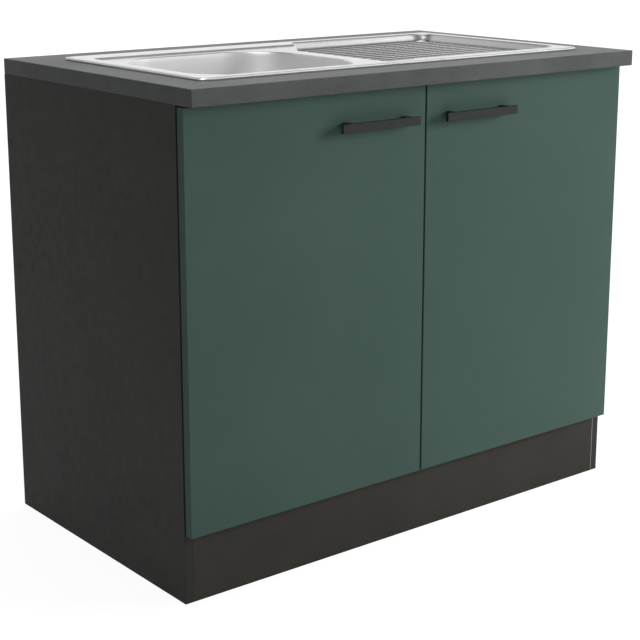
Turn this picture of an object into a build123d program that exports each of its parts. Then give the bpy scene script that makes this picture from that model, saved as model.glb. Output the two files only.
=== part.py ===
from build123d import *
from math import cos, radians, tan
import os

# Kitchen sink unit: a board carcass 1000 mm wide with two overlay doors on concealed hinges,
# a laminated worktop, and an inset steel sink with one bowl and a ribbed drainer.
# Frame: origin on the floor under the middle, +X right, +Y to the wall, +Z up, millimetres.

os.makedirs("parts", exist_ok=True)

# ---------------------------------------------------------------- driving dimensions
# Carcass and worktop
unit_width = 1000.0
unit_height = 850.0  # floor to worktop surface
worktop_depth = 600.0
worktop_thickness = 28.0
worktop_overhang = 45.0  # worktop front edge ahead of the carcass front
worktop_edge = 0.8
board = 16.0  # carcass board thickness
board_edge = 0.6  # broken edge of the side panels' front
plinth_height = 118.0
rail_height = 80.0
lower_rail_height = 100.0
wall_hole_radius = 3.0
wall_hole_spacing = 600.0

# Worktop brackets
bracket_leg = 25.0
bracket_width = 20.0
bracket_thickness = 2.0
bracket_spacing = 700.0

# Doors
door_thickness = 16.0
door_gap = 1.5  # door back to carcass front
door_side_reveal = 2.0
door_centre_gap = 3.0
door_top_gap = 3.0
door_bottom_reveal = 2.0  # door bottom above the bottom panel's lower face
door_edge = 0.8
bumper_size = 8.0
bumper_thickness = 1.2
bumper_inset = 12.0

# Handles
handle_length = 170.0
handle_height = 15.0
handle_bar = 6.5  # bar thickness, front to back
handle_projection = 22.5
handle_post = 10.0
handle_post_spacing = 128.0
handle_from_edge = 30.0  # handle end to the door's free edge
handle_drop = 57.0  # handle centre below the door's top edge
handle_edge = 0.8

# Concealed hinges
hinge_from_end = 100.0  # hinge centre from the door's top and bottom edges
cup_radius = 17.5
cup_depth = 11.5
cup_wall = 1.0
cup_edge_distance = 5.0  # cup rim to the door's outer edge
cup_flange = 1.0
cup_flange_size = (24.0, 62.0)
cup_flange_shift = 5.0
plate_setback = 37.0  # middle of the plate behind the carcass front edge
plate_thickness = 2.0
plate_wing = (16.0, 52.0)
plate_rail = (54.0, 10.0)
plate_rail_rise = 7.5
arm_length = 60.0
arm_width = 13.6
arm_wall = 1.5
arm_nose_depth = 5.5  # how far the nose reaches into the cup
arm_setback = 12.0  # front of the arm's side walls behind the carcass front
link_offset = 12.0  # link's far edge from the cup's axis, towards the door's outer edge
link_depth = 5.5  # link's back face below the door's back face
link_size = (7.0, 2.4)

# Sink
sink_length = 860.0
sink_width = 435.0
sink_back_margin = 90.0
sink_corner_radius = 10.0
sheet = 1.0  # pressed steel thickness
ledge_rise = 5.0  # flat ledge above the worktop
ledge_bevel = 2.4  # outer top edge
deck_drop = 3.0  # bowl surround below the ledge
cutout_margin = 10.0  # sink edge to the cut-out's edge
cutout_radius = 12.0
lip_clearance = 0.3
seal_inner_gap = 1.0

deck_left_margin = 28.0  # sink edge to the bowl surround's edge
deck_front_margin = 22.0
deck_back_margin = 57.0
deck_corner_radius = 8.0

bowl_length = 340.0
bowl_width = 325.0
bowl_depth = 153.0
bowl_corner_radius = 95.0
bowl_floor_radius = 25.0
bowl_rim = 2.5  # bevel of the bowl's upper edge
bowl_left_margin = 40.0
bowl_front_margin = 29.0

drainer_drop = 18.0  # drainer floor below the ledge, at its bowl end
drainer_fall = 2.0  # how much higher the floor's far end is
drainer_draft = 25.0  # degrees
drainer_left = -12.0
drainer_right_margin = 28.0
drainer_front_margin = 35.0
drainer_back_margin = 28.0
drainer_corner_radius = 25.0
drainer_floor_bevel = 2.5
drainer_notch = (80.0, 92.0)  # how far the back left corner is cut away, along X and Y
notch_lean = 14.0  # the deck's back corner stands this much left of the drainer's
deck_overlap = 45.0  # the deck runs this far past the drainer's left edge
ramp_length = 75.0
rib_count = 13
rib_pitch = 27.0
rib_width = 13.0
rib_rise = 3.0
rib_draft = 40.0  # degrees
rib_end_margin = 8.0
nearly = 0.01  # tolerance for picking edges by their height

# Waste
waste_hole_radius = 45.0
waste_seat_width = 13.0
waste_seat_depth = 2.5
bowl_fall = 2.0  # bowl floor falls this much to the waste seat
bowl_fall_size = (240.0, 225.0)
bowl_fall_run = 58.0  # level length of each falling facet
flange_margin = 2.0  # flange edge to the seat's edge
strainer_wall = 1.0
strainer_gap = 1.5  # cup to the edge of the waste hole
strainer_depth = 38.0
cup_slot_count = 6
cup_slot_circle = 24.0
cup_slot = (20.0, 9.0)
gasket = 3.0  # ring between the sheet and the housing
housing_wall = 2.5
housing_gap = 1.0  # housing wider than the waste hole
housing_depth = 12.0  # waste housing below the strainer cup
outlet_radius = 23.9
outlet_wall = 3.5
outlet_length = 30.0
basket_gap = 0.3  # basket rim over the strainer's flange
basket_play = 2.5  # basket to the outside of the cup
basket_lip = 6.0
basket_depth = 24.0
basket_slot_count = 8
basket_slot_circle = 23.0
basket_slot = (24.0, 5.0)
knob_radius = 8.0
knob_height = 3.0
knob_top = 10.0  # above the seat
stem_radius = 3.0

# Sink clips
clip_width = 15.0
clip_thickness = 1.5
clip_gap = 2.0  # clip leg to the cut-out's wall
clip_tab = 6.0
clip_reach = 13.5
clip_drop = 6.0
clip_places = (-290.0, 0.0, 290.0)  # along the front and back edges

fit_gap = 0.1  # clearance of a cup in its door, a link in its cup, and a seal in the rim

# ---------------------------------------------------------------- derived places
half_width = unit_width / 2
inner_half = half_width - board
carcass_top = unit_height - worktop_thickness
carcass_front = -worktop_depth / 2 + worktop_overhang
back = worktop_depth / 2
floor_panel_top = plinth_height + board

door_back = carcass_front - door_gap
door_front = door_back - door_thickness
door_bottom = plinth_height + door_bottom_reveal
door_top = carcass_top - door_top_gap
door_outer = half_width - door_side_reveal
door_free = door_centre_gap / 2
hinge_heights = (door_bottom + hinge_from_end, door_top - hinge_from_end)
cup_x = door_outer - cup_edge_distance - cup_radius
handle_x = door_free + handle_from_edge + handle_length / 2
handle_z = door_top - handle_drop

sink_y = back - sink_back_margin - sink_width / 2
ledge = unit_height + ledge_rise
deck = ledge - deck_drop
drainer_floor = ledge - drainer_drop
bowl_x = -sink_length / 2 + bowl_left_margin + bowl_length / 2
bowl_y = sink_y - sink_width / 2 + bowl_front_margin + bowl_width / 2
bowl_floor = deck - bowl_depth
seat = bowl_floor - bowl_fall - waste_seat_depth
waste_axis = Axis((bowl_x, bowl_y, 0), (0, 0, 1))
waste_seat_radius = waste_hole_radius + waste_seat_width
flange_radius = waste_seat_radius - flange_margin
strainer_radius = waste_hole_radius - strainer_gap
basket_radius = strainer_radius - basket_play
basket_rim_radius = basket_radius + basket_lip

SIDES = (("left", -1), ("right", 1))


def save(piece, name):
    """Labels a finished piece and writes it to its own file."""
    piece.part.label = name
    export_step(piece.part, f"parts/{name}.step")


def slab(low, high):
    """Adds a square block between two opposite corners to the current part."""
    middle = tuple((a + b) / 2 for a, b in zip(low, high))
    size = [abs(b - a) for a, b in zip(low, high)]
    with Locations(middle):
        Box(*size)


def facing_back(x, y, z):
    """A plane that looks to the wall: local x is +X and local y is down."""
    return Plane((x, y, z), x_dir=(1, 0, 0), z_dir=(0, 1, 0))


# ---------------------------------------------------------------- carcass boards
# Butt-jointed boards: each spans the two sides and is given by its low and high (y, z).
lower_rail_top = floor_panel_top + lower_rail_height
board_boxes = {
    "bottom_panel": ((carcass_front, plinth_height), (back, floor_panel_top)),
    "plinth_panel": ((carcass_front, 0), (carcass_front + board, plinth_height)),
    "front_rail": ((carcass_front, carcass_top - rail_height), (carcass_front + board, carcass_top)),
    "lower_rear_rail": ((back - board, floor_panel_top), (back, lower_rail_top)),
}

for name, ((low_y, low_z), (high_y, high_z)) in board_boxes.items():
    with BuildPart() as cross_board:
        slab((-inner_half, low_y, low_z), (inner_half, high_y, high_z))
    save(cross_board, name)

with BuildPart() as rear_rail:
    slab((-inner_half, back - board, carcass_top - rail_height), (inner_half, back, carcass_top))
    with BuildSketch(facing_back(0, back, carcass_top - rail_height / 2)):
        with GridLocations(wall_hole_spacing, 1, 2, 1):
            Circle(wall_hole_radius)
    extrude(amount=-board, mode=Mode.SUBTRACT)
save(rear_rail, "rear_rail")

for side, sign in SIDES:
    with BuildPart() as side_panel:
        slab((sign * inner_half, carcass_front, 0), (sign * half_width, back, carcass_top))
        front_edges = side_panel.edges().filter_by(Axis.Z).group_by(Axis.Y)[0]
        chamfer(front_edges, board_edge)
    save(side_panel, f"side_panel_{side}")

# ---------------------------------------------------------------- worktop
cutout_length = sink_length - 2 * cutout_margin
cutout_width = sink_width - 2 * cutout_margin

with BuildPart() as worktop:
    slab((-half_width, -back, carcass_top), (half_width, back, unit_height))
    chamfer(worktop.edges(), worktop_edge)
    with BuildSketch(Plane.XY.offset(carcass_top)):
        with Locations((0, sink_y)):
            RectangleRounded(cutout_length, cutout_width, cutout_radius)
    extrude(amount=worktop_thickness, mode=Mode.SUBTRACT)
save(worktop, "worktop")

# Steel angles that hold the worktop to the front and rear rails.
bracket_profile = [
    (0, 0),
    (bracket_leg, 0),
    (bracket_leg, -bracket_thickness),
    (bracket_thickness, -bracket_thickness),
    (bracket_thickness, -bracket_leg),
    (0, -bracket_leg),
]
with BuildPart() as worktop_brackets:
    for face, inward in ((carcass_front + board, 1), (back - board, -1)):
        for x in (-bracket_spacing / 2, bracket_spacing / 2):
            corner = Plane((x, face, carcass_top), x_dir=(0, inward, 0), z_dir=(inward, 0, 0))
            with BuildSketch(corner):
                Polygon(*bracket_profile, align=None)
            extrude(amount=bracket_width / 2, both=True)
save(worktop_brackets, "worktop_brackets")

# ---------------------------------------------------------------- pressed sink
# The sheet is the space between two copies of one form: the solid under its upper face, and
# the same solid drawn in by the sheet's thickness. Every level, outline and radius of the form
# follows that inset, so the wall is even from the ledge to the ribs.
deck_left = -sink_length / 2 + deck_left_margin
deck_front = sink_y - sink_width / 2 + deck_front_margin
deck_back = sink_y + sink_width / 2 - deck_back_margin
drainer_right = sink_length / 2 - drainer_right_margin
drainer_front = sink_y - sink_width / 2 + drainer_front_margin
drainer_back = sink_y + sink_width / 2 - drainer_back_margin
ramp_foot = drainer_left + ramp_length
ramp_rise = deck - drainer_floor
notch_x = drainer_left + drainer_notch[0]
notch_y = drainer_back - drainer_notch[1]
rib_middle = (ramp_foot + drainer_right) / 2
rib_length = drainer_right - ramp_foot - 2 * rib_end_margin
rib_back = (drainer_front + drainer_back) / 2 + (rib_count - 1) * rib_pitch / 2


def floor_plane(inset):
    """The drainer's floor, which falls towards the bowl."""
    slope = Vector(drainer_right - drainer_left, 0, drainer_fall)
    origin = (0, 0, drainer_floor - inset)
    return Plane(origin, x_dir=slope, z_dir=Vector(-drainer_fall, 0, drainer_right - drainer_left))


def drainer_tool(inset):
    """The hollow of the drainer: drafted walls, a tilted floor and a ramp at the bowl end."""
    draft_angle = radians(drainer_draft)
    spread = inset * (1 / cos(draft_angle) - tan(draft_angle))
    with BuildPart() as tool:
        with BuildSketch(floor_plane(inset)) as outline:
            Polygon(
                (drainer_left, drainer_front),
                (drainer_right, drainer_front),
                (drainer_right, drainer_back),
                (notch_x, drainer_back),
                (notch_x - notch_lean, deck_back),
                (drainer_left, notch_y),
                align=None,
            )
            offset(amount=spread, kind=Kind.INTERSECTION)
            right_corners = outline.vertices().group_by(Axis.X)[-1]
            fillet(right_corners, drainer_corner_radius + spread)
        extrude(amount=drainer_drop + drainer_fall, taper=-drainer_draft)
        chamfer(tool.faces().sort_by(Axis.Z)[0].edges(), drainer_floor_bevel)
        with BuildSketch(Plane.XZ):
            Polygon(
                (ramp_foot, drainer_floor - inset),
                (ramp_foot - 2 * ramp_length, drainer_floor + 2 * ramp_rise - inset),
                (ramp_foot - 2 * ramp_length, drainer_floor - drainer_drop),
                (ramp_foot, drainer_floor - drainer_drop),
                align=None,
            )
        extrude(amount=worktop_depth, both=True, mode=Mode.SUBTRACT)
    return tool.part


def fall_tool(inset):
    """A shallow upside-down pyramid, cut off at the waste: the overlap of two trapezoid bars."""
    with BuildPart() as tool:
        for plane, size, mode in (
            (Plane.XZ, bowl_fall_size[0], Mode.ADD),
            (Plane.YZ, bowl_fall_size[1], Mode.INTERSECT),
        ):
            with BuildSketch(Plane((bowl_x, bowl_y, bowl_floor - inset), plane.x_dir, plane.z_dir)):
                Polygon(
                    (-size / 2, 0),
                    (bowl_fall_run - size / 2, -bowl_fall),
                    (size / 2 - bowl_fall_run, -bowl_fall),
                    (size / 2, 0),
                    align=None,
                )
            extrude(amount=bowl_length, both=True, mode=mode)
    return tool.part


def bowl_tool(inset):
    """The hollow of the bowl: its floor falls along four creases to the waste's round seat.

    The floor's edges are round in the bowl. Under the sheet a bevel touches the offset arc.
    """
    with BuildPart() as tool:
        with BuildSketch(Plane.XY.offset(deck)):
            with Locations((bowl_x, bowl_y)):
                RectangleRounded(
                    bowl_length + 2 * inset, bowl_width + 2 * inset, bowl_corner_radius + inset
                )
        extrude(amount=-bowl_depth - inset)
        floor_edges = tool.faces().sort_by(Axis.Z)[0].edges()
        if inset == 0:
            fillet(floor_edges, bowl_floor_radius)
        else:
            chamfer(floor_edges, (2 - 2**0.5) * (bowl_floor_radius + inset))
        add(fall_tool(inset))
        with BuildSketch(Plane.XY.offset(bowl_floor - inset)):
            with Locations((bowl_x, bowl_y)):
                Circle(waste_seat_radius + inset)
        extrude(amount=seat - bowl_floor)
    return tool.part


def sink_form(inset):
    """The solid from the floor to the sheet's upper face, drawn in by inset."""
    with BuildPart() as form:
        with BuildSketch():
            with Locations((0, sink_y)):
                RectangleRounded(
                    sink_length - 2 * inset, sink_width - 2 * inset, sink_corner_radius - inset
                )
        extrude(amount=ledge - inset)
        chamfer(form.faces().sort_by(Axis.Z)[-1].edges(), ledge_bevel - inset)
        with BuildSketch(Plane.XY.offset(deck - inset)) as surround:
            Polygon(
                (deck_left, deck_front),
                (drainer_left + deck_overlap, deck_front),
                (drainer_left + deck_overlap, notch_y),
                (notch_x - notch_lean, deck_back),
                (deck_left, deck_back),
                align=None,
            )
            offset(amount=inset, kind=Kind.INTERSECTION)
            fillet(surround.vertices().group_by(Axis.X)[0], deck_corner_radius + inset)
        extrude(amount=2 * deck_drop, mode=Mode.SUBTRACT)
        add(bowl_tool(inset), mode=Mode.SUBTRACT)
        reach_x = bowl_length / 2 + bowl_rim
        reach_y = bowl_width / 2 + bowl_rim
        rim = form.edges().filter_by_position(Axis.Z, deck - inset - nearly, deck - inset + nearly)
        rim = rim.filter_by_position(Axis.X, bowl_x - reach_x, bowl_x + reach_x)
        rim = rim.filter_by_position(Axis.Y, bowl_y - reach_y, bowl_y + reach_y)
        chamfer(rim, bowl_rim - inset)
        add(drainer_tool(inset), mode=Mode.SUBTRACT)
        rib_outset = inset / cos(radians(rib_draft)) - inset * tan(radians(rib_draft))
        with BuildSketch(floor_plane(inset)):
            for i in range(rib_count):
                with Locations((rib_middle, rib_back - i * rib_pitch)):
                    Rectangle(rib_length - 2 * rib_outset, rib_width - 2 * rib_outset)
        extrude(amount=rib_rise, taper=rib_draft)
    return form.part


with BuildPart() as sink:
    add(sink_form(0))
    add(sink_form(sheet), mode=Mode.SUBTRACT)
    with BuildSketch():
        with Locations((0, sink_y)):
            Rectangle(2 * sink_length, 2 * sink_width)
            Rectangle(cutout_length, cutout_width, mode=Mode.SUBTRACT)
    extrude(amount=unit_height + lip_clearance, mode=Mode.SUBTRACT)
    with BuildSketch():
        with Locations((bowl_x, bowl_y)):
            Circle(waste_hole_radius)
    extrude(amount=bowl_floor, mode=Mode.SUBTRACT)
save(sink, "sink")

# Rubber seals: the strip inside the hollow rim, and the ring under the sheet at the waste.
seal_outer = 2 * (ledge_bevel + fit_gap)
seal_inner = 2 * (cutout_margin - seal_inner_gap)
with BuildPart() as sink_seals:
    with BuildSketch(Plane.XY.offset(unit_height)):
        with Locations((0, sink_y)):
            RectangleRounded(sink_length - seal_outer, sink_width - seal_outer, sink_corner_radius)
            RectangleRounded(
                sink_length - seal_inner, sink_width - seal_inner, cutout_radius, mode=Mode.SUBTRACT
            )
    extrude(amount=ledge_rise - sheet)
    with BuildSketch(Plane.XY.offset(seat - sheet)):
        with Locations((bowl_x, bowl_y)):
            Circle(flange_radius)
            Circle(waste_hole_radius, mode=Mode.SUBTRACT)
    extrude(amount=-gasket)
save(sink_seals, "sink_seals")

# Steel clips that hook under the sheet inside the cut-out and claw up at the worktop.
clip_top = ledge - sheet
clip_low = carcass_top - clip_drop
clip_profile = [
    (-clip_gap - clip_tab, clip_top),
    (-clip_gap, clip_top),
    (-clip_gap, clip_low),
    (clip_reach - clip_thickness, clip_low),
    (clip_reach - clip_thickness, carcass_top),
    (clip_reach, carcass_top),
    (clip_reach, clip_low - clip_thickness),
    (-clip_gap - clip_thickness, clip_low - clip_thickness),
    (-clip_gap - clip_thickness, clip_top - clip_thickness),
    (-clip_gap - clip_tab, clip_top - clip_thickness),
]
cutout_edges = [((x, sink_y + cutout_width / 2), (0, 1, 0)) for x in clip_places]
cutout_edges += [((x, sink_y - cutout_width / 2), (0, -1, 0)) for x in clip_places]
cutout_edges += [((sign * cutout_length / 2, sink_y), (sign, 0, 0)) for _, sign in SIDES]
with BuildPart() as sink_clips:
    for place, outward in cutout_edges:
        across = Vector(*outward).cross(Vector(0, 0, 1))
        with BuildSketch(Plane(place, x_dir=outward, z_dir=across)):
            Polygon(*clip_profile, align=None)
        extrude(amount=clip_width / 2, both=True)
save(sink_clips, "sink_clips")

# ---------------------------------------------------------------- basket strainer waste
# Turned parts on one upright axis, each profile a list of (radius, height above the seat).


def half_section(profile):
    """A closed (radius, height) profile beside the waste's axis, ready to be revolved."""
    with BuildSketch(Plane.XZ.offset(-bowl_y)) as section:
        with Locations((bowl_x, seat)):
            Polygon(*profile, align=None)
    return section.sketch


def radial_slots(height, circle, size, count):
    """Slots on a circle about the waste's axis, each with its length along the radius."""
    with BuildSketch(Plane.XY.offset(seat + height)) as slots:
        with Locations((bowl_x, bowl_y)):
            with PolarLocations(circle, count):
                Rectangle(*size)
    return slots.sketch


flange_top = strainer_wall
cup_floor = -strainer_depth
cup_bottom = cup_floor - strainer_wall
housing_top = -sheet - gasket
housing_inside = waste_hole_radius + housing_gap
housing_outside = housing_inside + housing_wall
housing_bottom = cup_bottom - housing_depth
outlet_bottom = housing_bottom - outlet_length

# Flanged cup that drops through the bowl's waste hole onto the pressed seat.
with BuildPart() as strainer_cup:
    profile = [
        (strainer_radius - strainer_wall, flange_top),
        (flange_radius, flange_top),
        (flange_radius, 0),
        (strainer_radius, 0),
        (strainer_radius, cup_bottom),
        (0, cup_bottom),
        (0, cup_floor),
        (strainer_radius - strainer_wall, cup_floor),
    ]
    revolve(half_section(profile), axis=waste_axis)
    slots = radial_slots(cup_floor, cup_slot_circle, cup_slot, cup_slot_count)
    extrude(slots, amount=-strainer_wall, mode=Mode.SUBTRACT)
save(strainer_cup, "strainer_cup")

# Housing under the sheet: clamps the lower gasket, and drains into the outlet.
with BuildPart() as waste_housing:
    profile = [
        (housing_inside, housing_top),
        (flange_radius, housing_top),
        (flange_radius, housing_top - housing_wall),
        (housing_outside, housing_top - housing_wall),
        (housing_outside, housing_bottom),
        (outlet_radius, housing_bottom),
        (outlet_radius, outlet_bottom),
        (outlet_radius - outlet_wall, outlet_bottom),
        (outlet_radius - outlet_wall, housing_bottom + housing_wall),
        (housing_inside, housing_bottom + housing_wall),
    ]
    revolve(half_section(profile), axis=waste_axis)
save(waste_housing, "waste_housing")

# Lift-out basket, hung by its rim on the cup's flange.
rim_low = flange_top + basket_gap
rim_top = rim_low + strainer_wall
basket_floor = rim_low - basket_depth
with BuildPart() as basket_strainer:
    profile = [
        (basket_radius - strainer_wall, rim_top),
        (basket_rim_radius, rim_top),
        (basket_rim_radius, rim_low),
        (basket_radius, rim_low),
        (basket_radius, basket_floor),
        (0, basket_floor),
        (0, basket_floor + strainer_wall),
        (basket_radius - strainer_wall, basket_floor + strainer_wall),
    ]
    revolve(half_section(profile), axis=waste_axis)
    slots = radial_slots(basket_floor, basket_slot_circle, basket_slot, basket_slot_count)
    extrude(slots, amount=strainer_wall, mode=Mode.SUBTRACT)
save(basket_strainer, "basket_strainer")

# Knob on a stem, riveted to the basket's floor.
with BuildPart() as basket_knob:
    profile = [
        (0, basket_floor + strainer_wall),
        (stem_radius, basket_floor + strainer_wall),
        (stem_radius, knob_top - knob_height),
        (knob_radius, knob_top - knob_height),
        (knob_radius, knob_top),
        (0, knob_top),
    ]
    revolve(half_section(profile), axis=waste_axis)
save(basket_knob, "basket_knob")

# ---------------------------------------------------------------- doors
for side, sign in SIDES:
    with BuildPart() as door:
        slab((sign * door_free, door_front, door_bottom), (sign * door_outer, door_back, door_top))
        chamfer(door.faces().sort_by(Axis.Y)[0].edges(), door_edge)
        with BuildSketch(facing_back(0, door_back, 0)):
            with Locations(*((sign * cup_x, -z) for z in hinge_heights)):
                Circle(cup_radius)
        extrude(amount=-cup_depth, mode=Mode.SUBTRACT)
    save(door, f"door_{side}")

    # Flat bar on two square posts, screwed on from behind.
    with BuildPart() as handle:
        bar_face = door_front - handle_projection
        slab(
            (sign * handle_x - handle_length / 2, bar_face, handle_z - handle_height / 2),
            (sign * handle_x + handle_length / 2, bar_face + handle_bar, handle_z + handle_height / 2),
        )
        chamfer(handle.faces().sort_by(Axis.Y)[0].edges(), handle_edge)
        with BuildSketch(facing_back(sign * handle_x, bar_face + handle_bar, handle_z)):
            with GridLocations(handle_post_spacing, 1, 2, 1):
                Rectangle(handle_post, handle_post)
        extrude(amount=handle_projection - handle_bar)
    save(handle, f"handle_{side}")

    # Soft pads that the closed door rests on, stuck to its back at the free edge.
    with BuildPart() as door_bumpers:
        bumper_heights = (floor_panel_top - board / 2, door_top - bumper_inset)
        with BuildSketch(facing_back(0, door_back, 0)):
            with Locations(*((sign * (door_free + bumper_inset), -z) for z in bumper_heights)):
                Rectangle(bumper_size, bumper_size)
        extrude(amount=bumper_thickness)
    save(door_bumpers, f"door_bumpers_{side}")

    # ------------------------------------------------------------ concealed hinges
    # Pressed cups let into the door's back, with a flange that is screwed down beside them.
    with BuildPart() as hinge_cups:
        with BuildSketch(facing_back(0, door_back, 0)):
            for z in hinge_heights:
                with Locations((sign * (cup_x - cup_flange_shift), -z)):
                    Rectangle(*cup_flange_size)
                with Locations((sign * cup_x, -z)):
                    Circle(cup_radius)
        extrude(amount=cup_flange)
        with BuildSketch(facing_back(0, door_back, 0)):
            with Locations(*((sign * cup_x, -z) for z in hinge_heights)):
                Circle(cup_radius - fit_gap)
        extrude(amount=-cup_depth)
        with BuildSketch(facing_back(0, door_back + cup_flange, 0)):
            with Locations(*((sign * cup_x, -z) for z in hinge_heights)):
                Circle(cup_radius - cup_wall - fit_gap)
        extrude(amount=cup_wall - cup_depth - cup_flange, mode=Mode.SUBTRACT)
    save(hinge_cups, f"hinge_cups_{side}")

    # Links that span the cups between their side walls. They stay with the door.
    with BuildPart() as hinge_links:
        link_x = sign * (cup_x + link_offset)
        link_y = door_back - link_depth
        cup_inside = cup_radius - cup_wall - fit_gap
        link_span = 2 * (cup_inside**2 - link_offset**2) ** 0.5 - fit_gap
        for z in hinge_heights:
            slab(
                (link_x, link_y - link_size[1], z - link_span / 2),
                (link_x - sign * link_size[0], link_y, z + link_span / 2),
            )
    save(hinge_links, f"hinge_links_{side}")

    # Mounting plates on the side panel, with wings for the screws and a rail for the arm.
    plate_y = carcass_front + plate_setback
    with BuildPart() as hinge_plates:
        for z in hinge_heights:
            slab(
                (sign * inner_half, plate_y - plate_wing[0] / 2, z - plate_wing[1] / 2),
                (sign * (inner_half - plate_thickness), plate_y + plate_wing[0] / 2, z + plate_wing[1] / 2),
            )
            slab(
                (sign * inner_half, plate_y - plate_rail[0] / 2, z - plate_rail[1] / 2),
                (sign * (inner_half - plate_rail_rise), plate_y + plate_rail[0] / 2, z + plate_rail[1] / 2),
            )
    save(hinge_plates, f"hinge_plates_{side}")

    # Channel-shaped arms on the plates' rails, with a nose that reaches into the cup.
    web = inner_half - plate_rail_rise
    arm_front = carcass_front + arm_setback
    nose_tip = door_back - arm_nose_depth
    with BuildPart() as hinge_arms:
        for z in hinge_heights:
            slab(
                (sign * web, nose_tip, z - arm_width / 2),
                (sign * (web - arm_wall), arm_front + arm_length, z + arm_width / 2),
            )
            for edge in (-1, 1):
                slab(
                    (sign * (web + arm_wall), arm_front, z + edge * arm_width / 2),
                    (sign * web, arm_front + arm_length, z + edge * (arm_width / 2 - arm_wall)),
                )
    save(hinge_arms, f"hinge_arms_{side}")
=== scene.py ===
from math import pi, radians, tan

import bpy
import numpy as np
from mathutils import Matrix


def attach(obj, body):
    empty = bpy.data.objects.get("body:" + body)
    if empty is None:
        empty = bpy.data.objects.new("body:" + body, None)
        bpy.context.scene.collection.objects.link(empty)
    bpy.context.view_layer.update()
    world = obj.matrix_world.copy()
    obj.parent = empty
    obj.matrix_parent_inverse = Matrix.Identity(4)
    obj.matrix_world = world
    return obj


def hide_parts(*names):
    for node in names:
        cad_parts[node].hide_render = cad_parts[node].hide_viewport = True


# A kitchen sink unit a metre wide: an anthracite carcass, two petrol green doors with dark bar
# handles, a worktop with a concrete look, and an inset steel sink with a bowl and a drainer.
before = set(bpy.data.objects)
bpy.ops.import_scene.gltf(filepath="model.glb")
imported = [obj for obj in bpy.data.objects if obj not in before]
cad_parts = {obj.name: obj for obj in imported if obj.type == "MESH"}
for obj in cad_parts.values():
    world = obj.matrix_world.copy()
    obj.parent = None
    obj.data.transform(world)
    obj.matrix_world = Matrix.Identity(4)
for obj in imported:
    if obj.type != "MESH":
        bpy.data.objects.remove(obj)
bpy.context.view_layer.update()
mm = 0.001

# ---------------------------------------------------------------- camera
# It stands where the photographer stood, to the front left and a little above the worktop.
# A small shift lifts the picture; the rest of the framing is the camera's downward tilt.
photo_size = 640
focal_px = 1524.5
look_down, turn_right = radians(13.47), radians(38.54)
camera_data = bpy.data.cameras.new("camera")
camera_data.sensor_width = 36
camera_data.lens = focal_px / photo_size * camera_data.sensor_width
camera_data.shift_y = -0.08
camera = bpy.data.objects.new("camera", camera_data)
camera.location = (-1764 * mm, -2195 * mm, 1119 * mm)
camera.rotation_euler = (pi / 2 - look_down, 0, -turn_right)
bpy.context.scene.collection.objects.link(camera)
bpy.context.scene.camera = camera
bpy.context.scene.view_settings.view_transform = "Standard"


# ---------------------------------------------------------------- floor and light
# A white floor that keeps the unit's shadow, a broad lamp overhead and a soft one at the right
# of the front. Shiny pieces see a lamp at either side instead, a white wall that fades to grey
# behind the camera, a dark gap above it and a bright panel straight overhead.
def new_mesh(name, points, faces, smooth=True):
    """A mesh object of (n, 3) points in metres and of faces that list the points' numbers."""
    mesh = bpy.data.meshes.new(name)
    corners = [list(map(int, face)) for face in faces]
    mesh.from_pydata(np.asarray(points, float).tolist(), [], corners)
    mesh.polygons.foreach_set("use_smooth", [smooth] * len(mesh.polygons))
    mesh.update()
    piece = bpy.data.objects.new(name, mesh)
    bpy.context.scene.collection.objects.link(piece)
    return piece


def node_maker(tree):
    """A function that adds a node to the tree, with its sockets linked or set."""

    def node(kind, inputs=(), **settings):
        made = tree.nodes.new("ShaderNode" + kind)
        for key, value in settings.items():
            setattr(made, key, value)
        for key, value in dict(inputs).items():
            if isinstance(value, bpy.types.NodeSocket):
                tree.links.new(value, made.inputs[key])
            else:
                made.inputs[key].default_value = value
        return made

    return node


def new_finish(name, **constants):
    """A material, its shader with constants on the shader's own sockets, and its node maker."""
    material = bpy.data.materials.new(name)
    material.use_nodes = True
    shader = material.node_tree.nodes["Principled BSDF"]
    for socket, value in constants.items():
        shader.inputs[socket.replace("_", " ")].default_value = value
    return material, shader, node_maker(material.node_tree)


def linear(code):
    """The linear colour, with full alpha, that a six-digit screen colour code stands for."""
    screen = np.array([int(code[i : i + 2], 16) for i in (0, 2, 4)]) / 255
    light = np.where(screen <= 0.04045, screen / 12.92, ((screen + 0.055) / 1.055) ** 2.4)
    return (*light.tolist(), 1.0)


floor_half = 30.0
floor_corners = [(-1, -1, 0), (1, -1, 0), (1, 1, 0), (-1, 1, 0)]
studio_floor = new_mesh("studio_floor", np.array(floor_corners) * floor_half, [(0, 1, 2, 3)])
floor_paint, shader, node = new_finish(
    "studio_floor", Base_Color=linear("efefef"), Roughness=0.9, Specular_IOR_Level=0.1
)
glow = node("Emission", {"Color": (1, 1, 1, 1), "Strength": 1.12})
ray = node("LightPath").outputs
seen = node("Math", {0: ray["Is Camera Ray"], 1: ray["Is Glossy Ray"]}, operation="MAXIMUM")
reach = node("VectorMath", {0: node("TexCoord").outputs["Object"]}, operation="LENGTH")
near, far, near_share = 0.8, 3.0, 0.84
ends = {"Value": reach.outputs["Value"], "From Min": near, "From Max": far, "To Min": near_share}
share = node("MapRange", {**ends, "To Max": 1.0}).outputs[0]
glow_share = node("Math", {0: seen.outputs[0], 1: share}, operation="MULTIPLY").outputs[0]
floor_mix = node("MixShader", {0: glow_share, 1: shader.outputs[0], 2: glow.outputs[0]})
floor_out = floor_paint.node_tree.nodes["Material Output"]
floor_paint.node_tree.links.new(floor_mix.outputs[0], floor_out.inputs["Surface"])
studio_floor.data.materials.append(floor_paint)

ambient = 0.12
horizon, ceiling, behind_camera, zenith = 1.0, 0.1, 0.2, 1.3
studio = bpy.data.worlds.new("studio")
bpy.context.scene.world = studio
studio.use_nodes = True
node = node_maker(studio.node_tree)


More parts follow.
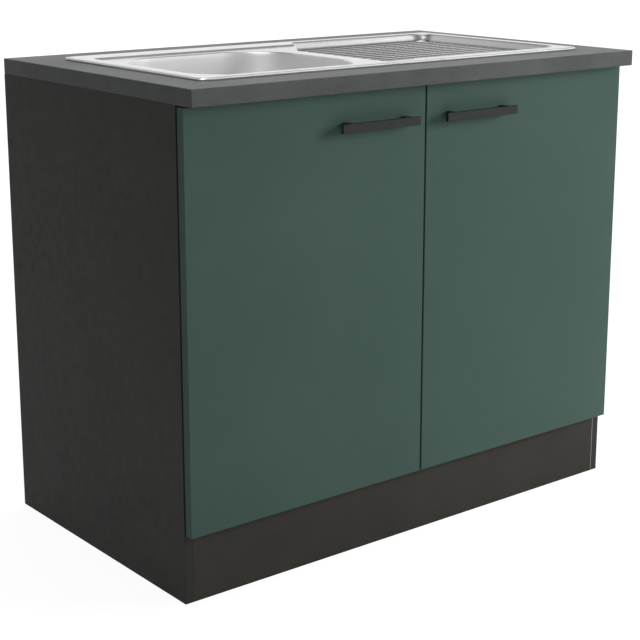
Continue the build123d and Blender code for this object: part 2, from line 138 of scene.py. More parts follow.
def smooth_range(value, low, high, to_low, to_high):
    """A smooth change from one number to another as the value goes from low to high."""
    ends = {"Value": value, "From Min": low, "From Max": high, "To Min": to_low, "To Max": to_high}
    return node("MapRange", ends, interpolation_type="SMOOTHSTEP").outputs[0]


ray = node("LightPath").outputs
direction = node("TexCoord").outputs["Generated"]
rise = node("SeparateXYZ", {0: direction}).outputs["Z"]
away = node("VectorMath", {0: direction, 1: (0.9, 0.44, 0)}, operation="DOT_PRODUCT")
round_about = smooth_range(away.outputs["Value"], -0.7, 0.25, behind_camera, horizon)
gap_above = smooth_range(rise, 0.35, 0.72, 1.0, ceiling / horizon)
wall_light = node("Math", {0: round_about, 1: gap_above}, operation="MULTIPLY").outputs[0]
panel_light = smooth_range(rise, 0.88, 0.98, 0.0, zenith)
mirrored_light = node("Math", {0: wall_light, 1: panel_light}).outputs[0]
mirrored = node("Mix", {0: ray["Is Glossy Ray"], 2: ambient, 3: mirrored_light}).outputs[0]
seen = node("Math", {0: ray["Is Camera Ray"], 1: ray["Is Transmission Ray"]}, operation="MAXIMUM")
shown = node("Math", {0: seen.outputs[0], 1: mirrored}, operation="MAXIMUM")
background = studio.node_tree.nodes["Background"]
studio.node_tree.links.new(shown.outputs[0], background.inputs["Strength"])
background.inputs["Color"].default_value = (1, 1, 1, 1)

# Each lamp: place, target, size, power, and whether it lights surfaces and shows in the gloss.
lamps = {
    "overhead_lamp": ((0.5, 0.4, 3.2), (0.1, 0.0, 0.8), 2.4, 92, True, False),
    "right_lamp": ((2.6, -2.3, 1.6), (0.4, -0.2, 0.5), 1.4, 86, True, False),
    "right_glint": ((2.6, -2.3, 1.6), (0.4, -0.2, 0.5), 1.8, 34, False, True),
    "left_glint": ((-1.94, -1.23, 2.14), (-0.22, -0.03, 0.8), 1.2, 48, False, True),
}
for name, (place, target, size, power, lights, shows) in lamps.items():
    lamp = bpy.data.lights.new(name, "AREA")
    lamp.size = size
    lamp.energy = power
    stand = bpy.data.objects.new(name, lamp)
    stand.location = place
    aim = np.subtract(target, place)
    tilt = np.arctan2(aim[2], np.hypot(aim[0], aim[1]))
    stand.rotation_euler = (pi / 2 + tilt, 0, np.arctan2(-aim[0], aim[1]))
    stand.visible_diffuse, stand.visible_glossy = lights, shows
    bpy.context.scene.collection.objects.link(stand)


# ---------------------------------------------------------------- carcass boards
# Chipboard faced with anthracite melamine, 16 mm thick, with a fine pearled surface. Rails join
# the sides at the top and at the foot of the open back, and the plinth stands under the front.
def dress(nodes, material):
    """Gives CAD nodes a material in place of their own."""
    for name in nodes:
        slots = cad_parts[name].data.materials
        slots.clear()
        slots.append(material)


def clouds(node, scale, detail=4.0, roughness=0.55, stretch=(1, 1, 1), shift=(0, 0, 0)):
    """Noise from 0 to 1 on Object coordinates, drawn out along an axis by a small scale."""
    place = node("TexCoord").outputs["Object"]
    moved = node("Mapping", {"Vector": place, "Scale": stretch, "Location": shift}).outputs[0]
    sizes = {"Vector": moved, "Scale": scale, "Detail": detail, "Roughness": roughness}
    return node("TexNoise", sizes).outputs[0]


def between(node, factor, low, high, span=(0.3, 0.7)):
    """A colour from low to high as the factor goes across the span."""
    share = node("MapRange", {"Value": factor, "From Min": span[0], "From Max": span[1]}).outputs[0]
    return node("Mix", {0: share, 6: low, 7: high}, data_type="RGBA").outputs[2]


def level(node, factor, low, high, span=(0.3, 0.7)):
    """A number from low to high as the factor goes across the span."""
    ends = {"Value": factor, "From Min": span[0], "From Max": span[1]}
    return node("MapRange", {**ends, "To Min": low, "To Max": high}).outputs[0]


def relief(node, shader, height, depth, under=None):
    """Bump of a depth in metres from a height between 0 and 1, on top of another bump."""
    inputs = {"Height": height, "Distance": depth, "Strength": 1.0}
    if under is not None:
        inputs["Normal"] = under
    bump = node("Bump", inputs).outputs[0]
    shader.id_data.links.new(bump, shader.inputs["Normal"])
    return bump


def feed(shader, **sockets):
    """Links node outputs to the shader's sockets."""
    for socket, value in sockets.items():
        shader.id_data.links.new(value, shader.inputs[socket.replace("_", " ")])


def along(node, axis):
    """The Object coordinate on one axis, in metres."""
    return node("SeparateXYZ", {0: node("TexCoord").outputs["Object"]}).outputs[axis]


def past(node, axis, edge):
    """1 where the Object coordinate on an axis is past an edge, and 0 before it."""
    return node("Math", {0: along(node, axis), 1: edge}, operation="GREATER_THAN").outputs[0]


def raw_chips(node):
    """The colour of a sawn chipboard edge: pale and brown flakes."""
    flakes = clouds(node, 420.0, 3.0, 0.6)
    return between(node, flakes, linear("7f6647"), linear("c0a276"))


def melamine(name, dark, light, sheen, marks):
    """Melamine-faced board: a slight cloud in the colour and a fine pearled relief. The marks,
    (axis, edge, colour), give another colour, or the raw chips where it is empty, to what lies
    past an edge, or before it where the edge is written as negative."""
    material, shader, node = new_finish(name, Specular_IOR_Level=0.08)
    tone = between(node, clouds(node, 9.0), linear(dark), linear(light))
    for axis, edge, colour in marks:
        other = linear(colour) if colour else raw_chips(node)
        beyond = past(node, axis, abs(edge))
        if edge < 0:
            beyond = node("Math", {0: 1.0, 1: beyond}, operation="SUBTRACT").outputs[0]
        tone = node("Mix", {0: beyond, 6: tone, 7: other}, data_type="RGBA").outputs[2]
    feed(shader, Base_Color=tone, Roughness=level(node, clouds(node, 60.0), sheen, sheen + 0.12))
    pearls = relief(node, shader, clouds(node, 1400.0, 2.0), 0.03 * mm)
    relief(node, shader, clouds(node, 18.0), 0.15 * mm, pearls)
    return material


# Painted shadow: the lowest 1.6 mm of the side panels and the plinth is coloured near black, where
# they stand on the floor.
painted_floor_shadow = ("Z", -1.6 * mm, "161514")
back_edge = ("Y", 299.9 * mm, "")
# Painted highlight: a pale strip past 482.7 mm at the plinth's right end stands for light caught at
# its seam with the right side panel.
painted_seam_highlight = ("X", 482.7 * mm, "a19d97")
anthracite, plinth_foil = ("373634", "3c3b39"), ("3a3835", "413f3b")
for part, nodes, colours, marks in (
    ("sides", ["side_panel_left", "side_panel_right"], anthracite, [painted_floor_shadow, back_edge]),
    ("floor", ["bottom_panel"], anthracite, [back_edge]),
    ("rails", ["front_rail", "rear_rail", "lower_rear_rail"], anthracite, []),
    ("plinth", ["plinth_panel"], plinth_foil, [painted_seam_highlight, painted_floor_shadow]),
):
    dress(nodes, melamine(f"anthracite_{part}", *colours, 0.5, marks))


# ---------------------------------------------------------------- cam fittings
# Round zinc fittings with a cross recess that draw the boards together. They sit flush in the
# hidden faces of the plinth, the rails and the floor.
def heads(name, body, places, radius, height, cross=0.6):
    """Round heads on places of (seat point, outward direction), in millimetres.

    Each is a polar grid: a dome height * (0.6 + 0.4 * sqrt(1 - r^3)) over r from 0 to 1, with a
    cross-shaped pocket whose depth is a share of the height, a round skirt and a flat seat.
    """
    around, arm_length, arm_half_width = 48, 0.6, 0.15
    turn = np.arange(around) * 2 * pi / around
    rings = np.array([0.03, 0.1, 0.15, 0.2, 0.28, 0.36, 0.44, 0.5, 0.56, 0.62, 0.75, 0.88, 0.96, 1])
    r, angle = np.meshgrid(rings, turn, indexing="ij")
    a, b = r * np.cos(angle), r * np.sin(angle)
    arm_a = np.maximum(np.abs(a) / arm_length, np.abs(b) / arm_half_width)
    arm_b = np.maximum(np.abs(b) / arm_length, np.abs(a) / arm_half_width)
    pocket = np.clip((1.1 - np.minimum(arm_a, arm_b)) / 0.2, 0, 1) * cross
    rise = height * (0.6 + 0.4 * np.sqrt(1 - r**3)) - height * pocket
    local = np.stack([a * radius, b * radius, rise], -1).reshape(-1, 3)
    skirt = local[-around:] * [1, 1, 0]
    local = np.vstack([local, skirt])
    index = np.arange(len(local)).reshape(-1, around)
    ahead = np.roll(index, -1, axis=1)
    quads = np.stack([index[:-1], index[1:], ahead[1:], ahead[:-1]], -1).reshape(-1, 4).tolist()
    points, faces = [], []
    for seat_point, outward in places:
        n = np.array(outward, float)
        a = np.cross((0, 0, 1) if abs(n[2]) < 0.5 else (1, 0, 0), n)
        start = len(points) * len(local)
        points.append(np.array(seat_point) + local @ np.array([a, np.cross(n, a), n]))
        own = quads + [index[0].tolist(), index[-1][::-1].tolist()]
        faces += [[start + corner for corner in face] for face in own]
    piece = new_mesh(name, np.vstack(points) * mm, faces, False)
    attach(piece, body)
    return piece


def plated(name, dark, light, shine):
    """Plated steel with faint rolling marks and a cloudy shine."""
    material, shader, node = new_finish(name, Metallic=1.0)
    tone = between(node, clouds(node, 25.0), linear(dark), linear(light))
    feed(shader, Base_Color=tone, Roughness=level(node, clouds(node, 120.0), shine, shine + 0.14))
    relief(node, shader, clouds(node, 500.0, 3.0, 0.6, (0.15, 1, 1)), 0.01 * mm)
    return material


cam_places = [((x, -239, z), (0, 1, 0)) for x in (-450, 450) for z in (59, 782)]
cam_places += [((x, 284, z), (0, -1, 0)) for x in (-450, 450) for z in (184, 782)]
cam_places += [((x, y, 118), (0, 0, -1)) for x in (-450, 450) for y in (-150, 200)]
cams = heads("cam_fittings", "cabinet", cam_places, 7.4, 0.5, 0.5)
cams.data.materials.append(plated("zinc_cams", "8b8d90", "a3a5a8", 0.34))

# ---------------------------------------------------------------- worktop
# A 28 mm chipboard top with a concrete-look laminate on its surface and edges. The cut-out for
# the sink and the underside show the raw board and its brown backing paper.
concrete, shader, node = new_finish("concrete_laminate", Specular_IOR_Level=0.08)
patches = clouds(node, 4.2, 7.0, 0.62)
smears = clouds(node, 11.0, 8.0, 0.6, (0.55, 1.4, 1.0), (3.1, 0.4, 0.2))
sand = clouds(node, 520.0, 3.0, 0.6)
poured = between(node, patches, linear("3f4342"), linear("626764"), (0.36, 0.64))
worn = between(node, smears, linear("3f4141"), linear("6a6b67"), (0.34, 0.66))
shaded = node("Mix", {0: 0.55, 6: poured, 7: worn}, data_type="RGBA").outputs[2]
grains = between(node, sand, linear("4c504f"), linear("747876"), (0.3, 0.75))
decor = node("Mix", {0: 0.3, 6: shaded, 7: grains}, data_type="RGBA").outputs[2]
in_length = node("Math", {0: along(node, "X"), 1: 0.0, 2: 420.2 * mm}, operation="COMPARE")
in_width = node("Math", {0: along(node, "Y"), 1: -7.5 * mm, 2: 207.7 * mm}, operation="COMPARE")
sawn = node("Math", {0: in_length.outputs[0], 1: in_width.outputs[0]}, operation="MULTIPLY")
cut = node("Mix", {0: sawn.outputs[0], 6: decor, 7: raw_chips(node)}, data_type="RGBA").outputs[2]
paper = between(node, smears, linear("5f5140"), linear("73634f"))
above = past(node, "Z", 822.05 * mm)
board_tone = node("Mix", {0: above, 6: paper, 7: cut}, data_type="RGBA").outputs[2]
feed(shader, Base_Color=board_tone, Roughness=level(node, smears, 0.42, 0.58))
fine = relief(node, shader, sand, 0.04 * mm)
relief(node, shader, smears, 0.12 * mm, fine)
dress(["worktop"], concrete)

# ---------------------------------------------------------------- doors
# Smooth fronts in a supermatt petrol green, 16 mm thick, with edges of the same colour that are
# rounded by a fraction of a millimetre. They hang 3 mm apart.
petrol, shader, node = new_finish("petrol_supermatt", Specular_IOR_Level=0.08)
tone = between(node, clouds(node, 3.0, 3.0), linear("465b54"), linear("4a6058"))
feed(shader, Base_Color=tone, Roughness=level(node, clouds(node, 40.0), 0.5, 0.6))
silk = relief(node, shader, clouds(node, 2600.0, 2.0), 0.008 * mm)
relief(node, shader, clouds(node, 30.0, 3.0), 0.05 * mm, silk)
dress(["door_left", "door_right"], petrol)

# ---------------------------------------------------------------- handles
# Flat bars on two short posts, cut from one section 15 mm high with softened edges, and powder
# coated in a dark anthracite with a fine sandy texture.
powder, shader, node = new_finish("dark_powder_coat", Specular_IOR_Level=0.15)
tone = between(node, clouds(node, 300.0, 3.0), linear("292c2b"), linear("323634"))
feed(shader, Base_Color=tone, Roughness=level(node, clouds(node, 500.0), 0.42, 0.58))
relief(node, shader, clouds(node, 2200.0, 2.0), 0.05 * mm)
bar_end, post_out, post_in = 85.0, 69.0, 59.0
bar_face, bar_back, door_face = -295.0, -288.5, -272.5
bar_foot, bar_height, handle_middle = 754.5, 15.0, 116.5
right_half = [(bar_end, bar_face), (bar_end, bar_back), (post_out, bar_back)]
right_half += [(post_out, door_face), (post_in, door_face), (post_in, bar_back)]
left_half = [(-x, y) for x, y in right_half[::-1]]
bar_outline = np.array(left_half[-1:] + right_half + left_half[:-1])
bar_sides = [(i, (i + 1) % 12, 12 + (i + 1) % 12, 12 + i) for i in range(12)]
caps = [range(11, -1, -1), range(12, 24)]
for side, sign in (("left", -1), ("right", 1)):
    low = np.column_stack([bar_outline + [sign * handle_middle, 0], np.full(12, bar_foot)])
    outlines = np.vstack([low, low + [0, 0, bar_height]]) * mm
    handle = new_mesh(f"bar_handle_{side}", outlines, bar_sides + caps, False)
    edge = handle.modifiers.new("edge", "BEVEL")
    edge.width, edge.segments = 0.8 * mm, 3
    handle.data.materials.append(powder)
    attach(handle, f"door_{side}")
    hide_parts(f"handle_{side}")

# ---------------------------------------------------------------- concealed hinges
# Nickel-plated pressings, two to a door: cups in the doors, links across them, and plates and
# arms on the sides. Cross-head screws fix them.
hinge_heights = (220, 719)
nickel = plated("nickel_plate", "b4b2ad", "c4c2bd", 0.22)
hinge_parts = ("hinge_cups", "hinge_links", "hinge_plates", "hinge_arms")
dress([f"{part}_{side}" for part in hinge_parts for side in ("left", "right")], nickel)

# The screws: two in each cup's flange, two in each plate's wings, two in each arm, and the two
# that come through each door into its handle.
for side, sign in (("left", -1), ("right", 1)):
    cup_places, plate_places, arm_places = [], [], []
    for z in hinge_heights:
        cup_places += [((sign * 470.5, -255.5, z + dz), (0, 1, 0)) for dz in (-24, 24)]
        plate_places += [((sign * 482, -218, z + dz), (-sign, 0, 0)) for dz in (-17, 17)]
        arm_places += [((sign * 475, y, z), (-sign, 0, 0)) for y in (-231, -204)]
    handle_places = [((sign * x, -256.5, 762), (0, 1, 0)) for x in (52.5, 180.5)]
    for piece in (
        heads(f"cup_screws_{side}", f"door_{side}", cup_places, 3.4, 1.6),
        heads(f"plate_screws_{side}", "cabinet", plate_places, 3.6, 1.8),
        heads(f"arm_screws_{side}", "cabinet", arm_places, 4.2, 1.4),
        heads(f"handle_screws_{side}", f"door_{side}", handle_places, 4.0, 1.0),
    ):
        piece.data.materials.append(nickel)

# ---------------------------------------------------------------- door pads
# Clear soft domes stuck to the doors' backs, where they meet the bottom board and the rail.
clear_pad, shader, node = new_finish("clear_soft_pad", Transmission_Weight=0.6, IOR=1.42)
feed(shader, Base_Color=between(node, clouds(node, 200.0), linear("d6dad8"), linear("e6e9e7")))
feed(shader, Roughness=level(node, clouds(node, 400.0), 0.2, 0.35))
for side, sign in (("left", -1), ("right", 1)):
    pad_places = [((sign * 13.5, -256.5, z), (0, 1, 0)) for z in (126, 807)]
    pads = heads(f"soft_pads_{side}", f"door_{side}", pad_places, 4.0, 1.2, 0.0)
    pads.data.materials.append(clear_pad)
    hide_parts(f"door_bumpers_{side}")

# ---------------------------------------------------------------- clips and brackets
# Zinc-plated spring clips hold the sink in its cut-out, and angles hold the worktop down.
zinc = plated("zinc_plate", "8f9296", "a6a9ac", 0.34)
dress(["sink_clips", "worktop_brackets"], zinc)
bracket_places = []
for x in (-350, 350):
    for face, inward in ((-239, 1), (284, -1)):
        bracket_places.append(((x, face + 12 * inward, 820), (0, 0, -1)))
        bracket_places.append(((x, face + 2 * inward, 807), (0, inward, 0)))
bracket_screws = heads("bracket_screws", "cabinet", bracket_places, 3.8, 1.8)
bracket_screws.data.materials.append(zinc)

# ---------------------------------------------------------------- seals
# Black cellular rubber under the sink's rim and round its waste.
rubber, shader, node = new_finish("black_cell_rubber", Specular_IOR_Level=0.3)
feed(shader, Base_Color=between(node, clouds(node, 700.0), linear("1c1c1c"), linear("262626")))
feed(shader, Roughness=level(node, clouds(node, 300.0), 0.7, 0.85))
relief(node, shader, clouds(node, 1500.0, 3.0), 0.1 * mm)
dress(["sink_seals"], rubber)

# ---------------------------------------------------------------- waste housing
# White moulded polypropylene with the faint flow marks and low gloss of the mould: a round
# body that clamps the gasket under the bowl, and an outlet with an outside pipe thread.
def turned(name, body, profile, centre, around=96, thread=None):
    """A turned piece: a profile of (radius, height) points, run with the solid on its left, about
    an upright axis. It closes on itself as a tube, or runs from a point on the axis to another,
    where the quads become triangles. A thread (low, high, crest, pitch, depth) cuts a V-shaped
    helix into the radius: depth * |2 * fraction((height - turn * pitch) / pitch) - 1|."""
    angle = np.arange(around) * 2 * pi / around
    rings = np.array(profile, float)
    radius = np.repeat(rings[:, :1], around, axis=1)
    if thread:
        low, high, crest, pitch, depth = thread
        wave = np.abs(2 * (((rings[:, 1:] - pitch * angle / (2 * pi)) / pitch) % 1) - 1)
        cut = (rings[:, 1:] > low) & (rings[:, 1:] < high) & (radius > crest - 0.1)
        radius = np.where(cut, radius - depth * wave, radius)
    x = centre[0] + radius * np.cos(angle)
    y = centre[1] + radius * np.sin(angle)
    z = np.repeat(rings[:, 1:], around, axis=1)
    index = np.arange(radius.size).reshape(radius.shape)
    index[rings[:, 0] == 0] = index[rings[:, 0] == 0][:, :1]
    ahead, above = np.roll(index, -1, axis=1), np.roll(index, -1, axis=0)
    bands = np.stack([index, ahead, np.roll(ahead, -1, axis=0), above], -1)
    closed_tube = rings[0, 0] > 0
    quads = bands[: None if closed_tube else -1].reshape(-1, 4)
    faces = [list(dict.fromkeys(corners)) for corners in quads.tolist()]
    used, renumbered = np.unique(np.concatenate(faces), return_inverse=True)
    sizes = np.cumsum([len(face) for face in faces])[:-1]
    points = np.stack([x, y, z], -1).reshape(-1, 3)[used] * mm
    piece = new_mesh(name, points, np.split(renumbered, sizes))
    piece.data.set_sharp_from_angle(angle=radians(38))
    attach(piece, body)
    return piece


waste_centre = (-220.0, -33.5)
housing_profile = [(20.4, 613.5), (22.9, 613.5), (23.9, 614.5)]
housing_profile += [(23.9, z) for z in np.arange(614.8, 640.0, 0.3)]
housing_profile += [(22.6, 640.8), (22.6, 642.4), (23.2, 643.2), (24.6, 643.5), (46.2, 643.5)]
housing_profile += [(47.7, 644.2), (48.5, 645.8), (48.5, 685.8), (48.9, 687.2), (50.2, 688.0)]
housing_profile += [(55.2, 688.0), (56.0, 688.7), (56.0, 689.9), (55.3, 690.5), (46.0, 690.5)]
housing_profile += [(46.0, 647.4), (44.6, 646.0), (21.8, 646.0), (20.4, 644.8)]
pipe_thread = (614.6, 640.2, 23.9, 2.309, 1.1)
housing = turned("waste_housing_body", "cabinet", housing_profile, waste_centre, thread=pipe_thread)
plastic, shader, node = new_finish("white_polypropylene", Subsurface_Weight=0.1)
feed(shader, Base_Color=between(node, clouds(node, 12.0), linear("dcdcd6"), linear("e8e8e3")))
feed(shader, Roughness=level(node, clouds(node, 90.0), 0.38, 0.5))
relief(node, shader, clouds(node, 900.0, 2.0), 0.02 * mm)
housing.data.materials.append(plastic)
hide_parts("waste_housing")

# ---------------------------------------------------------------- pressed sink
# One sheet of satin stainless steel, 1 mm thick: a flat ledge with a turned-down edge, a bowl
# with a falling floor and a seat for the waste, and a ribbed drainer that ramps down from it.
sheet_thickness = 1.0
sink_centre, sink_half, sink_corner = np.array([0.0, -7.5]), np.array([430.0, 217.5]), 10.0
ledge, deck, drainer_low, drainer_high = 855.0, 852.0, 837.0, 839.0
deck_left, deck_front, deck_back, deck_corner = -402, -203, 153, 8.0
deck_wall_slope, drainer_wall_draft, drainer_corner = 1.6, radians(25), 25.0
bowl_centre, bowl_half, bowl_corner = np.array(waste_centre), np.array([170.0, 162.5]), 95.0
bowl_floor, floor_radius, floor_fall = 699.0, 25.0, 2.0
seat, seat_radius, waste_hole_radius = 694.5, 60.0, 45.0
ramp_top, ramp_foot = -12, 63
drainer_right, drainer_front, drainer_back = 402, -190, 182
notch = (54, deck_back)
deck_edges = [(deck_left, deck_front), (33, deck_front), (33, 90), notch, (deck_left, deck_back)]
drainer_edges = [(ramp_top, drainer_front), (drainer_right, drainer_front)]
drainer_edges += [(drainer_right, drainer_back), (68, drainer_back), notch, (ramp_top, 90)]
rib_middles = 158.0 - 27.0 * np.arange(13)
rib_left, rib_right, rib_half, rib_rise, rib_flank, rib_end = 71.0, 394.0, 6.5, 3.0, 5.8, 6.0


def stretches(*parts):
    """Grid lines over stretches of (start, end, spacing), each divided evenly."""
    lines = [np.linspace(a, b, max(1, round((b - a) / step)) + 1) for a, b, step in parts]
    return np.unique(np.round(np.concatenate(lines), 4))


def outside(x, y, corners):
    """Distance outside a polygon, negative inside: to its nearest side, signed by crossings."""
    nearest = np.full(x.shape, np.inf)
    inside = np.zeros(x.shape, bool)
    for (ax, ay), (bx, by) in zip(corners, np.roll(corners, -1, axis=0)):
        run, climb = bx - ax, by - ay
        share = np.clip(((x - ax) * run + (y - ay) * climb) / (run**2 + climb**2), 0, 1)
        nearest = np.minimum(nearest, np.hypot(x - ax - share * run, y - ay - share * climb))
        crossed = (ay > y) != (by > y)
        inside ^= crossed & (x < ax + (y - ay) / (climb if climb else 1.0) * run)
    return np.where(inside, -nearest, nearest)


def outside_round(x, y, low, high, radius):
    """Distance outside a rectangle with round corners: to its core, less the radius."""
    dx = np.maximum(low[0] + radius - x, x - high[0] + radius)
    dy = np.maximum(low[1] + radius - y, y - high[1] + radius)
    beyond_core = np.hypot(np.maximum(dx, 0), np.maximum(dy, 0))
    return beyond_core + np.minimum(np.maximum(dx, dy), 0) - radius


def lower_of(a, b, blend):
    """The lower of two heights, with a round transition where they differ by less than blend."""
    share = np.clip(0.5 + 0.5 * (b - a) / blend, 0, 1)
    return b + (a - b) * share - blend * share * (1 - share)


def upper_of(a, b, blend):
    """The upper of two heights, with a round transition."""
    return -lower_of(-a, -b, blend)


def ease(t):
    """A smooth step from 0 to 1."""
    t = np.clip(t, 0, 1)
    return t * t * (3 - 2 * t)


def sheet_height(x, y):
    """The sheet's upper face inside the rim: the lowest of the ledge, the bowl's surround and
    the drainer. The drainer is the highest of a falling floor, a ramp up to the surround and
    the drafted walls, and smooth-stepped ribs with round ends rise from it. Every pair meets
    in a round transition."""
    far_right, far_left = 900, -900
    round_deck = outside_round(x, y, (deck_left, deck_front), (far_right, deck_back), deck_corner)
    step = np.maximum(outside(x, y, deck_edges), round_deck)
    surround = deck + np.maximum(step, 0) * deck_wall_slope
    fall = (drainer_high - drainer_low) / (drainer_right - ramp_top)
    floor = drainer_low + fall * (x - ramp_top)
    ramp = drainer_low + (ramp_foot - x) * (deck - drainer_low) / (ramp_foot - ramp_top)
    low, high = (far_left, drainer_front), (drainer_right, drainer_back)
    round_drainer = outside_round(x, y, low, high, drainer_corner)
    off = np.maximum(outside(x, y, drainer_edges), round_drainer)
    wall = floor + off / tan(drainer_wall_draft)
    tray = upper_of(upper_of(floor, ramp, 1.6), wall, 5.0)
    from_rib = y - rib_middles[np.abs(y[..., None] - rib_middles).argmin(-1)]
    rib_off = outside_round(x, from_rib, (rib_left, -rib_half), (rib_right, rib_half), rib_end)
    tray = tray + rib_rise * ease(-rib_off / rib_flank)
    return lower_of(lower_of(np.full(x.shape, ledge), surround, 1.2), tray, 2.2)


def rounded_loop(loop, centre, half, radius):
    """A loop moved onto a rectangle with round corners: each point goes to the nearest point of
    the rectangle's core, then out by the radius in the same direction."""
    core = np.clip(loop - centre, radius - half, half - radius)
    away = loop - centre - core
    return centre + core + away / np.linalg.norm(away, axis=1, keepdims=True) * radius


# The grid's lines lie close where the sheet bends and far apart where it is flat. The cells
# over the bowl are left out, up to the lines of hole_low and hole_high.
hole_low, hole_high = (-396.5, -201.2), (-43.5, 134.3)
x_lines = stretches(
    (-411.5, -404, 2.5), (-404, -399.5, 0.8), (-399.5, hole_low[0], 1.5),
    (hole_low[0], hole_high[0], 5.9), (hole_high[0], -14, 4.2), (-14, -10, 1.3), (-10, 70, 2.0),
    (70, 77, 1.0), (77, 376, 13), (376, 388, 3), (388, 395, 1.0), (395, 411.5, 1.2),
)
rib_steps = np.array([-10, -6.5, -5.1, -3.7, -2.3, 0, 2.3, 3.7, 5.1, 6.5, 10])
rib_lines = (rib_middles[:, None] + rib_steps).ravel()
notch_lines = [90.5, 117.5, hole_high[1], 144.5, 149.5, 152, 153, 154, 155.4]
wall_lines = stretches(
    (-206.5, -203.6, 1), (-203.6, hole_low[1], 0.8), (hole_low[1], -186, 1.3), (-186, -176, 3),
    (168, 178, 2.5), (178, 191.5, 1.2),
)
y_lines = np.unique(np.round(np.concatenate([wall_lines, rib_lines, notch_lines]), 4))

nx, ny = len(x_lines), len(y_lines)
grid_x, grid_y = np.meshgrid(x_lines, y_lines, indexing="ij")
grid = np.stack([grid_x, grid_y, sheet_height(grid_x, grid_y)], -1).reshape(-1, 3)
number = np.arange(nx * ny).reshape(nx, ny)
hx = np.searchsorted(x_lines, [hole_low[0], hole_high[0]])
hy = np.searchsorted(y_lines, [hole_low[1], hole_high[1]])
cells = np.stack([number[:-1, :-1], number[1:, :-1], number[1:, 1:], number[:-1, 1:]], -1)
kept = np.ones((nx - 1, ny - 1), bool)
kept[hx[0] : hx[1], hy[0] : hy[1]] = False
quads = [cells[kept]]


def edge_of(x0, x1, y0, y1):
    """The grid's points round a rectangle of cells, anticlockwise from its low corner."""
    return np.concatenate(
        [number[x0:x1, y0], number[x1, y0:y1], number[x1:x0:-1, y1], number[x0, y1:y0:-1]]
    )


def add_loops(start, loops, inward):
    """Joins loops of points one after another to a loop that is already there."""
    global points
    before = start
    for loop in loops:
        after = len(points) + np.arange(len(loop))
        points = np.vstack([points, loop])
        a, b = before, np.roll(before, -1)
        c, d = np.roll(after, -1), after
        quads.append(np.stack([a, b, c, d] if inward else [b, a, d, c], -1))
        before = after
    return before


def at_height(flat, z):
    """Flat points lifted to a height."""
    return np.column_stack([flat, np.full(len(flat), z)])


points = grid
hole = edge_of(hx[0], hx[1], hy[0], hy[1])
flat_hole = grid[hole, :2]

# The bowl is a row of round-cornered loops of (outset, height): a rolled edge, an upright wall
# and a quarter round at the floor. The floor then falls to the round seat and its hole.
edge_outset = 3.0
bends = np.radians(np.arange(0, 91, 15))
bowl_profile = [(edge_outset, deck), (2.2, deck - 0.1), (1.4, deck - 0.4), (0.7, deck - 1.0)]
bowl_profile += [(0.2, deck - 1.9), (0, deck - 3), (0, deck - 10)]
bowl_profile += [(0, z) for z in (815.0, 780.0, 745.0, 728.0)]
bowl_profile += [
    (-floor_radius * (1 - np.cos(t)), bowl_floor + floor_radius * (1 - np.sin(t))) for t in bends
]
bowl_edge = rounded_loop(
    flat_hole, bowl_centre, bowl_half + edge_outset, bowl_corner + edge_outset
)
loops = [at_height(flat_hole + (bowl_edge - flat_hole) * share, deck) for share in (0.4, 0.8)]
for grow, z in bowl_profile:
    flat = rounded_loop(flat_hole, bowl_centre, bowl_half + grow, bowl_corner + grow)
    loops.append(at_height(flat, z))
floor_edge = loops[-1][:, :2] - bowl_centre
facing = floor_edge / np.linalg.norm(floor_edge, axis=1, keepdims=True)
for share in (0.06, 0.25, 0.5, 0.75, 0.93, 1.0):
    flat = bowl_centre + floor_edge * (1 - share) + facing * seat_radius * share
    loops.append(at_height(flat, bowl_floor - floor_fall * share))
seat_profile = [(58.9, seat + 2.1), (58.2, seat + 1.4), (58.0, seat + 0.9), (57.5, seat + 0.3)]
for radius, z in seat_profile + [(56.6, seat), (waste_hole_radius, seat)]:
    loops.append(at_height(bowl_centre + facing * radius, z))
add_loops(hole, loops, True)

# The rim goes outwards over the flat ledge and round an edge down to the worktop.
rim = edge_of(0, nx - 1, 0, ny - 1)
flat_rim = grid[rim, :2]
rim_width, rim_radius, rim_foot = 13.0, 2.4, 850.3
bends = np.radians((15, 38, 60, 80))
rim_profile = [(rim_width, ledge), (8.0, ledge), (3.2, ledge)]
rim_profile += [
    (rim_radius * (1 - np.sin(t)), ledge - rim_radius * (1 - np.cos(t))) for t in bends
]
rim_profile += [(0.0, 852.3), (0.0, rim_foot)]
loops = []
for inset, z in rim_profile:
    corner = sink_corner + 2 * inset / rim_width
    flat_rim = rounded_loop(flat_rim, sink_centre, sink_half - inset, corner)
    loops.append(at_height(flat_rim, z))
add_loops(rim, loops, False)

used, renumbered = np.unique(np.concatenate([q.ravel() for q in quads]), return_inverse=True)
sink = new_mesh("pressed_sink", points[used] * mm, renumbered.reshape(-1, 4))
sheet = sink.modifiers.new("sheet", "SOLIDIFY")
sheet.thickness = sheet_thickness * mm
sheet.offset = -1

steel, shader, node = new_finish("satin_stainless", Specular_IOR_Level=0.5)
tone = between(node, clouds(node, 6.0), linear("e3e3e3"), linear("eeeeee"))
strokes = clouds(node, 900.0, 3.0, 0.6, (0.03, 1.0, 1.0))


def both(a, b):
    """The product of two shares."""
    return node("Math", {0: a, 1: b}, operation="MULTIPLY").outputs[0]


def rest_of(a):
    """What a share leaves of one."""
    return node("Math", {0: 1.0, 1: a}, operation="SUBTRACT").outputs[0]


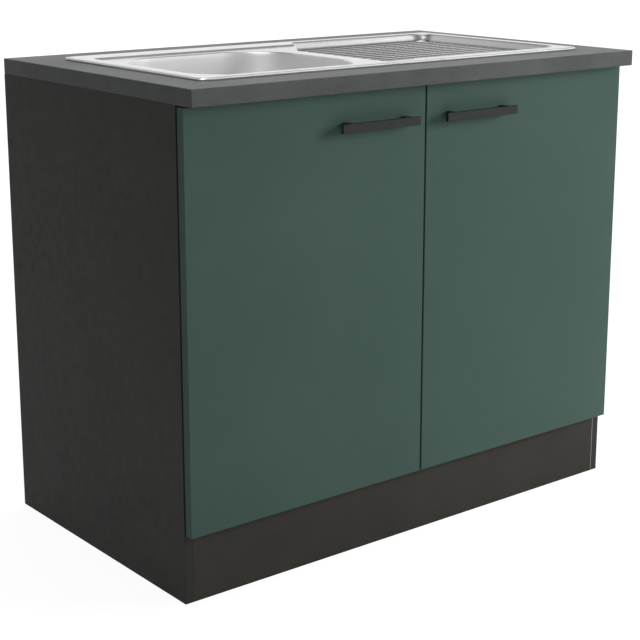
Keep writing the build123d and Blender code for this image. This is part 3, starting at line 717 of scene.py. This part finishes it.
# The bowl is duller than the rest, the ribs are a little brighter, and the edge is worn matt.
in_bowl = both(rest_of(past(node, "Z", 850.5 * mm)), rest_of(past(node, "X", -48.0 * mm)))
in_tray = both(rest_of(past(node, "Z", 843.0 * mm)), past(node, "X", 60.0 * mm))
across = both(past(node, "X", -427.4 * mm), rest_of(past(node, "X", 427.4 * mm)))
front_to_back = both(past(node, "Y", -222.4 * mm), rest_of(past(node, "Y", 207.4 * mm)))
on_rim = rest_of(both(across, front_to_back))
dullness, metal = level(node, strokes, 0.27, 0.31), 0.88
for place, change in ((on_rim, 0.16), (in_bowl, 0.12), (in_tray, -0.07)):
    added = {0: place, 1: change, 2: dullness}
    dullness = node("Math", added, operation="MULTIPLY_ADD").outputs[0]
for place, change in ((in_bowl, -0.3), (in_tray, 0.06)):
    metal = node("Math", {0: place, 1: change, 2: metal}, operation="MULTIPLY_ADD").outputs[0]
feed(shader, Base_Color=tone, Roughness=dullness, Metallic=metal)
relief(node, shader, strokes, 0.0002 * mm)
sink.data.materials.append(steel)
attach(sink, "cabinet")
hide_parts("sink")

# ---------------------------------------------------------------- strainer cup and basket
# Polished stainless steel: a flanged cup in the waste hole and a lift-out basket with a knob.
polished = plated("polished_stainless", "dcdcdc", "e8e8e8", 0.2)
dress(["strainer_cup", "basket_strainer"], polished)
knob_profile = [(0, 672.8), (5.0, 672.8), (5.0, 673.5), (4.3, 674.0), (3.3, 674.3)]
knob_profile += [(3.0, 674.9), (3.0, 698.4), (3.3, 699.9), (4.4, 701.0), (6.0, 701.4)]
knob_profile += [(7.3, 701.5), (7.85, 702.0), (8.0, 702.9), (7.8, 703.7), (7.1, 704.15)]
knob_profile += [(5.0, 704.4), (0, 704.5)]
knob = turned("turned_knob", "basket", knob_profile, waste_centre, 72)
knob.data.materials.append(polished)
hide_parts("basket_knob")
cup_screw = heads("waste_screw", "cabinet", [((*waste_centre, 656.5), (0, 0, 1))], 6.0, 2.6)
cup_screw.data.materials.append(polished)

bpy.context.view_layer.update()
